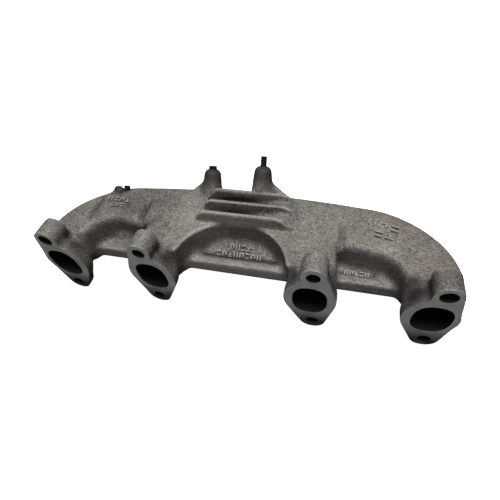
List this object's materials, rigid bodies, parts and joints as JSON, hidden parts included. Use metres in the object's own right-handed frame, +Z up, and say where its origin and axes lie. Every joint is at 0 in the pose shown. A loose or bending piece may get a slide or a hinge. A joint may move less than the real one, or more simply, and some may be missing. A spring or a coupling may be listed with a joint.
{
  "type": "exhaust manifold",
  "caption": "Cast-iron log exhaust manifold with round-eared port flanges, cooling fins, two shield posts and a downward outlet flange.",
  "frame": {"origin": "middle of the port line, on the gasket plane of the port flanges", "axes": "+X along the engine, +Y away from the cylinder head, +Z up"},
  "size_m": [0.3492, 0.1095, 0.1032],
  "materials": {
    "casting": "shot-blasted as-cast grey iron, machined on the flange faces",
    "studs": "dark phosphated steel"
  },
  "bodies": {
    "root": {"manifold_casting": "casting", "shield_stud_left": "studs", "shield_stud_right": "studs", "shield_stud_end": "studs", "outlet_stud_1": "studs", "outlet_stud_2": "studs", "outlet_stud_3": "studs", "outlet_stud_4": "studs"}
  },
  "joints": []
}
